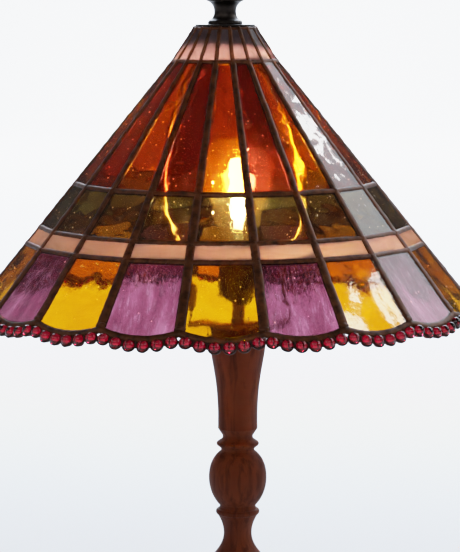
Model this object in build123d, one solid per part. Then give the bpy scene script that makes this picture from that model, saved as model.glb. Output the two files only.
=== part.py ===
"""Leaded-glass table lamp: a 20-sided cone shade on a turned wooden column.

Millimetres, +Z up. The origin is on the table, plumb below the shade's axis. The middle
of one amber facet of the shade faces -Y and the switch knob faces +Y. The harp is bent,
so the shade's axis stands COLUMN_X to the -X side of the column's axis.
"""
from build123d import *
from math import asin, cos, radians, sin, sqrt
import os

# Where the column, base, socket and bulb stand, from the shade's axis.
COLUMN_X = 10.0

# ---- shade: driving dimensions -------------------------------------------------
FACETS = 20
HALF_ANGLE = 180 / FACETS
# Seam radius and height of each row line, from the rim's valleys up.
RIM_R, RIM_Z = 192.5, 335.0
CREAM_LOW_R = 156.6
CREAM_HIGH_R = 146.3
GREEN_HIGH_R = 118.7
SHOULDER_R, SHOULDER_Z = 40.1, 521.3
CROWN_R, CROWN_Z = 23.0, 547.3

GLASS_T = 3.0
CAME_T = 4.4
ROW_HALF = 2.2
RIB_HALF_LOW, RIB_HALF_HIGH = 3.6, 1.9
RIB_HALF_CROWN = 1.5
SCALLOP_DROP = 6.8
RIM_WIDTH = 3.5
BEADS_PER_SCALLOP = 6
BEAD_R = 5.2
BEAD_SEAT = 0.3

# ---- shade carrier and finial --------------------------------------------------
CAP_Z, CAP_T, CAP_R = 548.6, 1.2, 23.4
CAP_SKIRT_LOW_Z, CAP_SKIRT_LOW_R, CAP_SKIRT_TOP_R = 534.0, 28.1, 19.6
CAP_HOLE_R = 5.2
STUD_R = 3.175
RUNNING = 0.075
AXIAL_GAP = 0.1
STUD_TOP_Z = 572.0
FINIAL_Z = CAP_Z + CAP_T + AXIAL_GAP
TOTAL_H = 598.0

# ---- harp ----------------------------------------------------------------------
HARP_WIRE_R = 2.0
ARM_X = 39.0
LEG_Z = 336.0
HARP_TOP_Z = 531.0
SADDLE_T, SADDLE_W = 2.0, 16.0
FERRULE_R, FERRULE_BORE_R = 4.2, 2.35
FERRULE_Z, FERRULE_L = 326.0, 16.0

# ---- column and base -----------------------------------------------------------
FELT_T, FELT_R = 3.0, 80.0
FOOT_R, FOOT_EDGE_Z, FOOT_TOP_Z = 82.5, 24.0, 58.0
RECESS_R, RECESS_TOP_Z = 60.0, 22.0
WEIGHT_R, WEIGHT_Z = 59.0, 8.0
COLUMN_TOP_Z, COLUMN_TOP_R = 308.0, 23.5
PIPE_R, PIPE_BORE_R = 5.0, 3.5
PIPE_LOW_Z, PIPE_TOP_Z = 4.0, 334.0
PIPE_HOLE_R = PIPE_R + 0.3
INLET_Z, INLET_BORE_R, INLET_R = 14.0, 3.5, 5.5

# ---- socket and bulb -----------------------------------------------------------
CAP_BASE_Z, CAP_TOP_Z = 328.0, 339.0
SHELL_R, SHELL_T, SHELL_TOP_Z = 15.4, 0.8, 375.0
SLEEVE_R, SLEEVE_T = 14.4, 0.6
SCREW_SHELL_R, SCREW_SHELL_T = 13.7, 0.35
CORE_R, CORE_LOW_Z, CORE_TOP_Z = 11.0, 334.2, 350.0
SWITCH_Z = 343.0
SHAFT_R = 2.0
BULB_TIP_Z = 353.0
BULB_BASE_R, BULB_BASE_T = 13.0, 0.4
BULB_R, BULB_Z, BULB_WALL = 30.0, 431.0, 0.8


def save(shape, node):
    """Write one node's solids to its own file."""
    export_step(shape, f"parts/{node}.step")


def save_on_column(shape, node):
    """Write a node that was drawn about the column's own axis."""
    save(Pos(COLUMN_X, 0, 0) * shape, node)


def turned(outline):
    """Spin a closed outline, drawn as radius and height, about the Z axis."""
    return revolve(make_face(outline.edges()), Axis.Z)


def turned_polygon(*corners):
    """Spin a straight-sided section about the Z axis."""
    return turned(Polyline(*[(r, 0, z) for r, z in corners], close=True))


def tube(outer_r, inner_r, low_z, high_z):
    """A plain round tube about the Z axis."""
    return turned_polygon((inner_r, low_z), (outer_r, low_z), (outer_r, high_z), (inner_r, high_z))


def disc(radius, low_z, high_z, x=0.0, y=0.0):
    """A round bar standing at x, y."""
    return Pos(x, y, (low_z + high_z) / 2) * Cylinder(radius, high_z - low_z)


def bar_y(radius, low_y, high_y, z, x=0.0):
    """A round bar lying along Y."""
    return Pos(x, (low_y + high_y) / 2, z) * Rot(90, 0, 0) * Cylinder(radius, high_y - low_y)


def around(shape, step=1):
    """Repeat a facet's solid round the shade, on every facet or every second one."""
    turned_solids = []
    for k in range(0, FACETS, step):
        turned_solids += [Rot(0, 0, k * 2 * HALF_ANGLE) * solid for solid in shape.solids()]
    return Compound(turned_solids)


# ---- shade geometry ------------------------------------------------------------
def apothem(seam_r):
    """Distance from the axis to the middle of a facet whose corners are at seam_r."""
    return seam_r * cos(radians(HALF_ANGLE))


def half_width(seam_r):
    """Half the facet's width where its corners are at seam_r."""
    return seam_r * sin(radians(HALF_ANGLE))


def facet_plane(low_r, low_z, high_r, high_z):
    """The front facet's plane: local X across, local Y up the slope, local Z outward."""
    run = apothem(low_r) - apothem(high_r)
    rise = high_z - low_z
    length = sqrt(run * run + rise * rise)
    normal = (0, -rise / length, run / length)
    plane = Plane(origin=(0, -apothem(low_r), low_z), x_dir=(1, 0, 0), z_dir=normal)
    return plane, length


MAIN_PLANE, MAIN_LENGTH = facet_plane(RIM_R, RIM_Z, SHOULDER_R, SHOULDER_Z)
CROWN_PLANE, CROWN_LENGTH = facet_plane(SHOULDER_R, SHOULDER_Z, CROWN_R, CROWN_Z)


def up_slope(seam_r):
    """How far up the main slope a row line is, from the rim's valleys."""
    return MAIN_LENGTH * (RIM_R - seam_r) / (RIM_R - SHOULDER_R)


def main_half(s):
    """Half the main facet's width at s up the slope."""
    return half_width(RIM_R + (SHOULDER_R - RIM_R) * s / MAIN_LENGTH)


def crown_half(t):
    """Half the crown facet's width at t up its slope."""
    return half_width(SHOULDER_R + (CROWN_R - SHOULDER_R) * t / CROWN_LENGTH)


def rib_half(s):
    """Half the rib's width: ribs thin towards the shoulder."""
    share = s / MAIN_LENGTH
    return RIB_HALF_LOW + (RIB_HALF_HIGH - RIB_HALF_LOW) * share


def crown_rib_half(t):
    """The crown's ribs keep one width."""
    return RIB_HALF_CROWN


CREAM_LOW = up_slope(CREAM_LOW_R)
CREAM_HIGH = up_slope(CREAM_HIGH_R)
GREEN_HIGH = up_slope(GREEN_HIGH_R)
SHOULDER_LOW = MAIN_LENGTH - 2.6
SHOULDER_HIGH = MAIN_LENGTH + 1.4
CROWN_LOW = 1.8
CROWN_ROW_LOW = CROWN_LENGTH - 2.6

# The scallop is an arc through both bottom corners that drops below them.
CORNER = main_half(0)
SCALLOP_R = (CORNER * CORNER + SCALLOP_DROP * SCALLOP_DROP) / (2 * SCALLOP_DROP)
SCALLOP_Y = SCALLOP_R - SCALLOP_DROP
RIM_OUTER_R = SCALLOP_R + RIM_WIDTH
BEAD_LINE_R = RIM_OUTER_R + BEAD_R - BEAD_SEAT

# A tall wedge that holds one facet: what crosses a seam is cut off at it.
REACH = 260.0
wedge_face = make_face(Polyline(
    (0, 0, 0),
    (-REACH * sin(radians(HALF_ANGLE)), -REACH * cos(radians(HALF_ANGLE)), 0),
    (REACH * sin(radians(HALF_ANGLE)), -REACH * cos(radians(HALF_ANGLE)), 0),
    close=True,
).edges())
WEDGE = Pos(0, 0, 280) * extrude(wedge_face, 320)


def flat(corners):
    """A flat outline in a facet's own X and Y."""
    return make_face(Polyline(*[(x, y, 0) for x, y in corners], close=True).edges())


def plate(plane, face, thickness):
    """Thicken an outline both ways from a facet's plane."""
    return plane * extrude(face, thickness / 2, both=True)


def strip(half_at, low, high, margin_low=0.0, margin_high=0.0):
    """Outline between two heights, in from the facet's edges by a margin at each height."""
    x_low = half_at(low) - margin_low
    x_high = half_at(high) - margin_high
    return flat([(-x_low, low), (x_low, low), (x_high, high), (-x_high, high)])


def pane(plane, half_at, edge_at, low, high):
    """A glass pane that fills a cell between two ribs and two rows."""
    return plate(plane, strip(half_at, low, high, edge_at(low), edge_at(high)), GLASS_T)


def row_bar(plane, half_at, edge_at, low, high):
    """A straight came between two ribs."""
    return plate(plane, strip(half_at, low, high, edge_at(low), edge_at(high)), CAME_T)


def row_ring_bar(plane, half_at, low, high):
    """A came that runs on past the seams, mitred there."""
    return plate(plane, strip(half_at, low, high, -4, -4), CAME_T) & WEDGE


ABOVE_SCALLOP = flat([(-60, 0), (60, 0), (60, 300), (-60, 300)]) + Pos(0, SCALLOP_Y) * Circle(SCALLOP_R)


def seam_rib(plane, half_at, edge_at, low, high, clip=None):
    """The came over one seam: a half on each facet, meeting at the seam's plane."""
    inner_low = half_at(low) - edge_at(low)
    inner_high = half_at(high) - edge_at(high)
    outer_low = half_at(low) + 4
    outer_high = half_at(high) + 4
    face = flat([(inner_low, low), (outer_low, low), (outer_high, high), (inner_high, high)])
    if clip is not None:
        face = face & clip
    half = plate(plane, face, CAME_T) & WEDGE
    other = Rot(0, 0, 2 * HALF_ANGLE) * mirror(half, Plane.YZ)
    return half + other


def scallop_pane():
    """The bottom pane, with its arc-shaped lower edge."""
    low, high = -SCALLOP_DROP - 1, CREAM_LOW - ROW_HALF
    cell = strip(main_half, low, high, rib_half(low), rib_half(high))
    return plate(MAIN_PLANE, cell & ABOVE_SCALLOP, GLASS_T)


def bead_places():
    """Bead centres along the scallop, in the facet's own X and Y."""
    end_angle = asin(main_half(-9) / BEAD_LINE_R)
    pitch = 2 * end_angle / BEADS_PER_SCALLOP
    angles = [(k - (BEADS_PER_SCALLOP - 1) / 2) * pitch for k in range(BEADS_PER_SCALLOP)]
    return [(BEAD_LINE_R * sin(a), SCALLOP_Y - BEAD_LINE_R * cos(a)) for a in angles]


def facet_beads():
    """The beads under one scallop."""
    return [MAIN_PLANE * Pos(x, y, 0) * Sphere(BEAD_R) for x, y in bead_places()]


def rim_bar():
    """The soldered edging of one scallop, with a shallow seat for each bead."""
    crescent = Pos(0, SCALLOP_Y) * Circle(RIM_OUTER_R) - ABOVE_SCALLOP
    crescent = crescent & flat([(-60, 4), (60, 4), (60, -40), (-60, -40)])
    rim = plate(MAIN_PLANE, crescent, CAME_T) & WEDGE
    for bead in facet_beads():
        rim = rim - bead
    return rim


def make_shade():
    """All the panes, cames, rim and beads."""
    shoulder_pane = pane(MAIN_PLANE, main_half, rib_half, GREEN_HIGH + ROW_HALF, SHOULDER_LOW)
    green_pane = pane(MAIN_PLANE, main_half, rib_half, CREAM_HIGH + ROW_HALF, GREEN_HIGH - ROW_HALF)
    cream_pane = pane(MAIN_PLANE, main_half, rib_half, CREAM_LOW + ROW_HALF, CREAM_HIGH - ROW_HALF)
    crown_pane = pane(CROWN_PLANE, crown_half, crown_rib_half, CROWN_LOW, CROWN_ROW_LOW)
    next_facet = Rot(0, 0, 2 * HALF_ANGLE)
    save(around(crown_pane), "crown_glass")
    save(around(shoulder_pane, 2), "amber_long_glass")
    save(around(next_facet * shoulder_pane, 2), "red_long_glass")
    save(around(green_pane), "green_square_glass")
    save(around(cream_pane), "cream_band_glass")
    save(around(scallop_pane(), 2), "yellow_scallop_glass")
    save(around(next_facet * scallop_pane(), 2), "purple_scallop_glass")

    rib = seam_rib(MAIN_PLANE, main_half, rib_half, -SCALLOP_DROP, SHOULDER_LOW, ABOVE_SCALLOP)
    save(around(rib), "seam_ribs")
    crown_rib = seam_rib(CROWN_PLANE, crown_half, crown_rib_half, CROWN_LOW, CROWN_ROW_LOW)
    save(around(crown_rib), "crown_ribs")
    rows = {"cream_low_row": CREAM_LOW, "cream_high_row": CREAM_HIGH, "green_high_row": GREEN_HIGH}
    for node, s in rows.items():
        bar = row_bar(MAIN_PLANE, main_half, rib_half, s - ROW_HALF, s + ROW_HALF)
        save(around(bar), node)
    save(around(row_ring_bar(MAIN_PLANE, main_half, SHOULDER_LOW, SHOULDER_HIGH)), "shoulder_row")
    save(around(row_ring_bar(CROWN_PLANE, crown_half, CROWN_ROW_LOW, CROWN_LENGTH)), "crown_row")
    save(around(rim_bar()), "scallop_rim")
    save(around(Compound(facet_beads())), "ruby_beads")


def make_carrier():
    """Vase cap, its bush, and the finial that clamps them to the harp's stud."""
    skirt = 1.2
    save(turned_polygon(
        (CAP_HOLE_R, CAP_Z), (CAP_HOLE_R, CAP_Z + CAP_T), (CAP_R, CAP_Z + CAP_T), (CAP_R, CAP_Z),
        (CAP_SKIRT_TOP_R, CAP_Z), (CAP_SKIRT_TOP_R, CROWN_Z),
        (CAP_SKIRT_LOW_R, CAP_SKIRT_LOW_Z), (CAP_SKIRT_LOW_R - skirt, CAP_SKIRT_LOW_Z),
        (CAP_SKIRT_TOP_R - skirt, CROWN_Z), (CAP_SKIRT_TOP_R - skirt, CAP_Z),
    ), "vase_cap")
    save(tube(CAP_HOLE_R, STUD_R + RUNNING, CAP_Z, CAP_Z + CAP_T), "cap_bush")

    insert_r, insert_top = 5.0, FINIAL_Z + 24
    z = FINIAL_Z
    outline = Polyline((insert_r, 0, z), (13.5, 0, z), (13.6, 0, z + 1.6), (12.8, 0, z + 3.0))
    outline += Spline((12.8, 0, z + 3.0), (9.4, 0, z + 6.2), (8.7, 0, z + 10.5), (9.8, 0, z + 14.5),
                      (13.6, 0, z + 18.0))
    outline += ThreePointArc((13.6, 0, z + 18.0), (15.0, 0, z + 19.3), (14.0, 0, z + 20.8))
    outline += Line((14.0, 0, z + 20.8), (12.6, 0, z + 22.0))
    tip_r = 5.0
    tip_z = TOTAL_H - tip_r
    tip_foot = (tip_r * cos(radians(-23)), 0, tip_z + tip_r * sin(radians(-23)))
    tip_side = (tip_r * cos(radians(35)), 0, tip_z + tip_r * sin(radians(35)))
    outline += Spline((12.6, 0, z + 22.0), (15.2, 0, z + 28.0), (12.4, 0, z + 35.0), (5.4, 0, z + 39.2))
    outline += ThreePointArc((5.4, 0, z + 39.2), (4.4, 0, z + 40.2), tip_foot)
    outline += ThreePointArc(tip_foot, tip_side, (0, 0, TOTAL_H))
    outline += Polyline((0, 0, TOTAL_H), (0, 0, insert_top), (insert_r, 0, insert_top), (insert_r, 0, z))
    save(turned(outline), "finial")
    save(tube(insert_r, STUD_R + RUNNING, FINIAL_Z, insert_top), "finial_insert")


def make_harp():
    """Harp wire, its stud with the cap's seat, the ferrules and the saddle."""
    leg_bend_z = 363.0
    side = [(ARM_X, LEG_Z), (ARM_X, leg_bend_z), (57, 401), (52, 455), (30, 510), (8, HARP_TOP_Z)]
    bends = [34, 44, 78, 46, 15]
    points = []
    for sign in (1, -1):
        for x, z in side[::sign]:
            bent = min(1, (HARP_TOP_Z - z) / (HARP_TOP_Z - leg_bend_z))
            points.append((sign * x + bent * COLUMN_X, 0, z))
    path = FilletPolyline(*points, radius=bends + bends[::-1])
    section = Plane(origin=points[0], z_dir=(0, 0, 1)) * Circle(HARP_WIRE_R)
    wire = sweep(section, path=path)
    save(wire, "harp_wire")

    barrel_r, seat_r, seat_t = 5.0, 9.0, 2.4
    seat_z = CAP_Z - AXIAL_GAP - seat_t
    stud = disc(barrel_r, HARP_TOP_Z - 2.6, seat_z) + disc(seat_r, seat_z, seat_z + seat_t)
    stud += disc(STUD_R, seat_z + seat_t, STUD_TOP_Z)
    save(stud - wire, "harp_stud")

    saddle_z = COLUMN_TOP_Z + 2
    shoulder_z = FERRULE_Z - 0.4
    strap = Pos(0, 0, saddle_z + SADDLE_T / 2) * Box(2 * ARM_X + SADDLE_T, SADDLE_W, SADDLE_T)
    for sign in (-1, 1):
        arm_h = shoulder_z - saddle_z
        strap += Pos(sign * ARM_X, 0, saddle_z + arm_h / 2) * Box(SADDLE_T, SADDLE_W, arm_h)
        strap += disc(HARP_WIRE_R, shoulder_z - 2.5, LEG_Z, sign * ARM_X)
    strap -= disc(PIPE_HOLE_R, saddle_z - 1, saddle_z + SADDLE_T + 1)
    corner = strap.edges().filter_by(Axis.Y).filter_by(lambda e: abs(e.center().Z - saddle_z) < 0.01)
    save_on_column(fillet(corner, 1.6), "harp_saddle")
    for sign, name in ((-1, "ferrule_left"), (1, "ferrule_right")):
        sleeve = disc(FERRULE_R, FERRULE_Z, FERRULE_Z + FERRULE_L, sign * ARM_X)
        sleeve -= disc(FERRULE_BORE_R, FERRULE_Z - 1, FERRULE_Z + FERRULE_L + 1, sign * ARM_X)
        save_on_column(sleeve, name)


def make_column():
    """The turned spindle: flared top, sharp ring, ball, ring, scotia, belly and foot ring."""
    bore = PIPE_HOLE_R
    low = FOOT_TOP_Z
    outline = Line((bore, 0, low), (24.5, 0, low))
    outline += ThreePointArc((24.5, 0, low), (26.6, 0, low + 3.6), (24.5, 0, low + 7.2))
    outline += Line((24.5, 0, low + 7.2), (20.6, 0, low + 8.6))
    outline += Spline((20.6, 0, low + 8.6), (20.2, 0, 71), (26.8, 0, 84), (30.8, 0, 100), (26.4, 0, 115),
                      (17.6, 0, 126.7), (12.4, 0, 135.5), (11.2, 0, 143), (12.6, 0, 150.5),
                      (16.0, 0, 157.6))
    outline += ThreePointArc((16.0, 0, 157.6), (17.5, 0, 160.2), (15.4, 0, 162.4))
    outline += ThreePointArc((15.4, 0, 162.4), (14.4, 0, 164.3), (15.4, 0, 166.4))
    outline += Spline((15.4, 0, 166.4), (20.9, 0, 175.5), (23.2, 0, 188.3), (20.8, 0, 200.6),
                      (13.9, 0, 209.4))
    outline += ThreePointArc((13.9, 0, 209.4), (13.3, 0, 210.8), (14.0, 0, 212.2))
    outline += Line((14.0, 0, 212.2), (16.4, 0, 214.2))
    outline += ThreePointArc((16.4, 0, 214.2), (17.0, 0, 215.5), (16.4, 0, 216.8))
    outline += Line((16.4, 0, 216.8), (12.8, 0, 219.3))
    outline += ThreePointArc((12.8, 0, 219.3), (12.1, 0, 221.4), (12.9, 0, 223.4))
    outline += Line((12.9, 0, 223.4), (15.9, 0, 228.0))
    outline += Spline((15.9, 0, 228.0), (16.2, 0, 250), (17.8, 0, 267), (21.2, 0, 287),
                      (COLUMN_TOP_R, 0, COLUMN_TOP_Z))
    outline += Polyline((COLUMN_TOP_R, 0, COLUMN_TOP_Z), (bore, 0, COLUMN_TOP_Z), (bore, 0, low))
    save_on_column(turned(outline), "column_spindle")
    save_on_column(tube(19.0, PIPE_HOLE_R, COLUMN_TOP_Z, COLUMN_TOP_Z + 2), "column_top_washer")
    save_on_column(tube(PIPE_R, PIPE_BORE_R, PIPE_LOW_Z, PIPE_TOP_Z), "lamp_pipe")


SCREW_PLACES = [(40 * cos(radians(a)), 40 * sin(radians(a))) for a in (30, 150, 270)]
SCREW_R, SCREW_HEAD_R, SCREW_HEAD_T, SCREW_TOP_Z = 2.0, 3.8, 2.2, 33.0


def make_base():
    """Wooden foot with its iron weight, felt, screws, nut and cord inlet."""
    outline = Polyline((PIPE_HOLE_R, 0, RECESS_TOP_Z), (RECESS_R, 0, RECESS_TOP_Z),
                       (RECESS_R, 0, FELT_T), (FOOT_R, 0, FELT_T), (FOOT_R, 0, FOOT_EDGE_Z - 3))
    outline += ThreePointArc((FOOT_R, 0, FOOT_EDGE_Z - 3), (FOOT_R - 0.9, 0, FOOT_EDGE_Z - 0.9),
                             (FOOT_R - 3, 0, FOOT_EDGE_Z))
    outline += Line((FOOT_R - 3, 0, FOOT_EDGE_Z), (FOOT_R - 8, 0, FOOT_EDGE_Z + 1))
    outline += Spline((FOOT_R - 8, 0, FOOT_EDGE_Z + 1), (67, 0, 31.5), (50, 0, 37), (37, 0, 41.5),
                      (29.5, 0, 49), (27.5, 0, FOOT_TOP_Z))
    outline += Polyline((27.5, 0, FOOT_TOP_Z), (PIPE_HOLE_R, 0, FOOT_TOP_Z),
                        (PIPE_HOLE_R, 0, RECESS_TOP_Z))
    foot = turned(outline) - bar_y(INLET_R, RECESS_R - 5, FOOT_R + 5, INLET_Z)
    weight = tube(WEIGHT_R, PIPE_HOLE_R, WEIGHT_Z, RECESS_TOP_Z)
    weight -= Pos(0, 35, WEIGHT_Z + 5) * Box(12, 60, 12)
    screws = []
    for x, y in SCREW_PLACES:
        shank = disc(SCREW_R, WEIGHT_Z, SCREW_TOP_Z, x, y)
        foot -= shank
        weight -= shank
        screws.append(shank + disc(SCREW_HEAD_R, WEIGHT_Z - SCREW_HEAD_T, WEIGHT_Z, x, y))
    save_on_column(foot, "base_foot")
    save_on_column(weight, "base_weight")
    save_on_column(Compound(screws), "weight_screws")
    save_on_column(disc(FELT_R, 0, FELT_T), "felt_pad")
    save_on_column(tube(13.0, PIPE_HOLE_R, WEIGHT_Z - 1.2, WEIGHT_Z), "base_washer")
    nut = extrude(RegularPolygon(8.0, 6) - Circle(PIPE_R), 3.4)
    save_on_column(Pos(0, 0, FELT_T + 0.3) * nut, "base_lock_nut")
    bush = bar_y(INLET_R, RECESS_R - 1, FOOT_R + 0.1, INLET_Z)
    bush += bar_y(INLET_R + 2, FOOT_R + 0.1, FOOT_R + 1.7, INLET_Z)
    bush -= bar_y(INLET_BORE_R, RECESS_R - 3, FOOT_R + 4, INLET_Z)
    save_on_column(bush, "cord_inlet_bush")


def make_socket():
    """Neck spacer, socket cap, shell and the working parts inside it."""
    top_nut_z = COLUMN_TOP_Z + 2 + SADDLE_T
    nut = extrude(RegularPolygon(8.0, 6) - Circle(PIPE_R), 3.0)
    save_on_column(Pos(0, 0, top_nut_z) * nut, "saddle_lock_nut")
    save_on_column(tube(8.0, PIPE_R + 0.05, top_nut_z + 3.0, CAP_BASE_Z), "neck_spacer")

    rim_r = SHELL_R
    wall = 1.0
    outline = Polyline((PIPE_R + 0.05, 0, CAP_BASE_Z), (9.0, 0, CAP_BASE_Z))
    outline += ThreePointArc((9.0, 0, CAP_BASE_Z), (13.6, 0, CAP_BASE_Z + 2.2), (rim_r, 0, CAP_BASE_Z + 6.5))
    outline += Polyline((rim_r, 0, CAP_BASE_Z + 6.5), (rim_r, 0, CAP_TOP_Z), (rim_r - wall, 0, CAP_TOP_Z),
                        (rim_r - wall, 0, CAP_BASE_Z + 6.5))
    outline += ThreePointArc((rim_r - wall, 0, CAP_BASE_Z + 6.5), (12.8, 0, CAP_BASE_Z + 3.2),
                             (9.0, 0, CAP_BASE_Z + 1.2))
    outline += Polyline((9.0, 0, CAP_BASE_Z + 1.2), (PIPE_R + 0.05, 0, CAP_BASE_Z + 1.2),
                        (PIPE_R + 0.05, 0, CAP_BASE_Z))
    save_on_column(turned(outline), "socket_cap")

    window = bar_y(SHAFT_R + 0.8, 8, 25, SWITCH_Z)
    save_on_column(tube(SHELL_R, SHELL_R - SHELL_T, CAP_TOP_Z, SHELL_TOP_Z) - window, "socket_shell")
    sleeve = tube(SLEEVE_R, SLEEVE_R - SLEEVE_T, CAP_TOP_Z, SHELL_TOP_Z - 1) - window
    save_on_column(sleeve, "insulating_sleeve")
    shell_foot = CORE_TOP_Z + 3.4
    save_on_column(tube(SCREW_SHELL_R, SCREW_SHELL_R - SCREW_SHELL_T, shell_foot, SHELL_TOP_Z - 2), "screw_shell")
    hole = bar_y(SHAFT_R + RUNNING, 3.5, 20, SWITCH_Z)
    core = disc(CORE_R, CORE_LOW_Z, CORE_TOP_Z) - hole
    core += tube(SCREW_SHELL_R, 9.0, CORE_TOP_Z, shell_foot) + tube(SCREW_SHELL_R, 9.0, CORE_TOP_Z - 1, CORE_TOP_Z)
    save_on_column(core, "socket_core")
    contact = disc(3.4, CORE_TOP_Z, CORE_TOP_Z + 1) + disc(2.4, CORE_TOP_Z + 1, BULB_TIP_Z - 0.3)
    save_on_column(contact, "centre_contact")
    screws = []
    for sign in (-1, 1):
        head = Pos(sign * (CORE_R + 1.1), 0, SWITCH_Z) * Rot(0, 90, 0) * Cylinder(2.4, 2.2)
        screws.append(head)
    save_on_column(Compound(screws), "terminal_screws")

    save_on_column(bar_y(SHAFT_R, 4.0, 20.0, SWITCH_Z), "switch_shaft")
    paddle = Pos(0, 24.5, SWITCH_Z) * Box(12, 9, 4)
    paddle = fillet(paddle.edges().filter_by(Axis.Z), 2.0)
    knob = paddle + bar_y(3.6, 17.0, 22.0, SWITCH_Z) - bar_y(SHAFT_R, 15, 20.0, SWITCH_Z)
    save_on_column(knob, "switch_knob")


def bulb_outline(gap):
    """Closed section of the bulb's envelope, drawn in by gap from the outside."""
    neck_r = BULB_BASE_R - BULB_BASE_T - 0.1 - gap
    low = BULB_TIP_Z + 16
    neck_top = SHELL_TOP_Z + 3.0
    join = radians(-38)
    r = BULB_R - gap
    join_r, join_z = r * cos(join), BULB_Z + r * sin(join)
    outline = Polyline((0, 0, low), (neck_r, 0, low), (neck_r, 0, neck_top))
    outline += Spline((neck_r, 0, neck_top), (16.6 - gap, 0, neck_top + 15), (join_r, 0, join_z),
                      tangents=[(0, 0, 1), (-sin(join), 0, cos(join))])
    outline += ThreePointArc((join_r, 0, join_z), (r * cos(0.5), 0, BULB_Z + r * sin(0.5)), (0, 0, BULB_Z + r))
    outline += Line((0, 0, BULB_Z + r), (0, 0, low))
    return outline


def capsule_form(radius, low_z, high_z):
    """A round-topped rod."""
    return disc(radius, low_z, high_z - radius) + Pos(0, 0, high_z - radius) * Sphere(radius)


def make_bulb():
    """Screw-base bulb: envelope, base, insulator, contact, stem, and a halogen capsule inside."""
    low = BULB_TIP_Z + 16
    save_on_column(turned(bulb_outline(0)) - turned(bulb_outline(BULB_WALL)), "bulb_glass")
    base_low = BULB_TIP_Z + 3
    shell = tube(BULB_BASE_R, BULB_BASE_R - BULB_BASE_T, base_low, SHELL_TOP_Z + 2)
    save_on_column(shell, "bulb_base_shell")
    insulator = turned_polygon((0, BULB_TIP_Z + 1), (5.0, BULB_TIP_Z + 1), (8.6, base_low),
                               (BULB_BASE_R - BULB_BASE_T, base_low), (BULB_BASE_R - BULB_BASE_T, base_low + 1.5),
                               (0, base_low + 1.5))
    save_on_column(insulator, "bulb_insulator")
    save_on_column(disc(4.6, BULB_TIP_Z, BULB_TIP_Z + 1), "bulb_tip_contact")
    pinch_z, capsule_r, capsule_wall = BULB_Z - 26, 7.0, 0.8
    tube_z, capsule_top = pinch_z + 9, BULB_Z + 15
    stem_top = pinch_z - 9
    save_on_column(disc(3.0, low + BULB_WALL, stem_top), "bulb_stem")
    wires = [disc(0.5, stem_top, pinch_z, x) for x in (-2.4, 2.4)]
    save_on_column(Compound(wires), "bulb_lead_wires")
    capsule = capsule_form(capsule_r, tube_z, capsule_top)
    capsule -= capsule_form(capsule_r - capsule_wall, tube_z + capsule_wall, capsule_top - capsule_wall)
    capsule += Pos(0, 0, (pinch_z + tube_z) / 2) * Box(9, 3.6, tube_z - pinch_z)
    save_on_column(capsule, "bulb_capsule")
    save_on_column(disc(1.1, tube_z + 4, capsule_top - 5), "bulb_filament")


os.makedirs("parts", exist_ok=True)
make_base()
make_column()
make_socket()
make_harp()
make_bulb()
make_carrier()
make_shade()
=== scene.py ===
"""Looks of the leaded-glass table lamp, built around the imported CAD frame. Metres, +Z up."""
import math
import random

import bmesh
import bpy
from mathutils import Matrix, Vector, noise


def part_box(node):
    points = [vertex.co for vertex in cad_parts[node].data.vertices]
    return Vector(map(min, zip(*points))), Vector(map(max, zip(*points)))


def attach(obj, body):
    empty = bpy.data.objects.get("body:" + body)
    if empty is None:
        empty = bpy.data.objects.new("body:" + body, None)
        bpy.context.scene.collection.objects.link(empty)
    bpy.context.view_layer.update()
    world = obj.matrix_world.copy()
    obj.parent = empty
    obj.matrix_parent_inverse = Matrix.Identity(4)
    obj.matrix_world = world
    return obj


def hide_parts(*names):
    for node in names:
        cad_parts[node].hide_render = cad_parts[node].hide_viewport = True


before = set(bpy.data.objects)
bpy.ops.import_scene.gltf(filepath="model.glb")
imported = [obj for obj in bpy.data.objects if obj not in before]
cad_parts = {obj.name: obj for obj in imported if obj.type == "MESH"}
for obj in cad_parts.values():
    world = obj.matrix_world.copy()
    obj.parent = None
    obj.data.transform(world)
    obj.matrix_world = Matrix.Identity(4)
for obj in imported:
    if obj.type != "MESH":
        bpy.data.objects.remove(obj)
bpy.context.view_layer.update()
MM = 0.001

# ---- the shade's driving dimensions, the same as the CAD's ---------------------
FACETS = 20
HALF_ANGLE = math.radians(180 / FACETS)
RIM_R, RIM_Z = 192.5 * MM, 335.0 * MM
CREAM_LOW_R, CREAM_HIGH_R, GREEN_HIGH_R = 156.6 * MM, 146.3 * MM, 118.7 * MM
SHOULDER_R, SHOULDER_Z = 40.1 * MM, 521.3 * MM
CROWN_R, CROWN_Z = 23.0 * MM, 547.3 * MM
SCALLOP_DROP, RIM_WIDTH = 6.8 * MM, 3.5 * MM
BEADS_PER_SCALLOP, BEAD_R, BEAD_SEAT = 6, 5.2 * MM, 0.3 * MM
GLASS_HALF_T, CAME_HALF_T = 1.5 * MM, 2.2 * MM
COLUMN_X = 10.0 * MM
ROW_HALF = 2.2 * MM
RIB_HALF_LOW, RIB_HALF_HIGH, RIB_HALF_CROWN = 3.6 * MM, 1.9 * MM, 1.5 * MM
TUCK = 1.0 * MM
SHARP_ANGLE = 50


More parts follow.
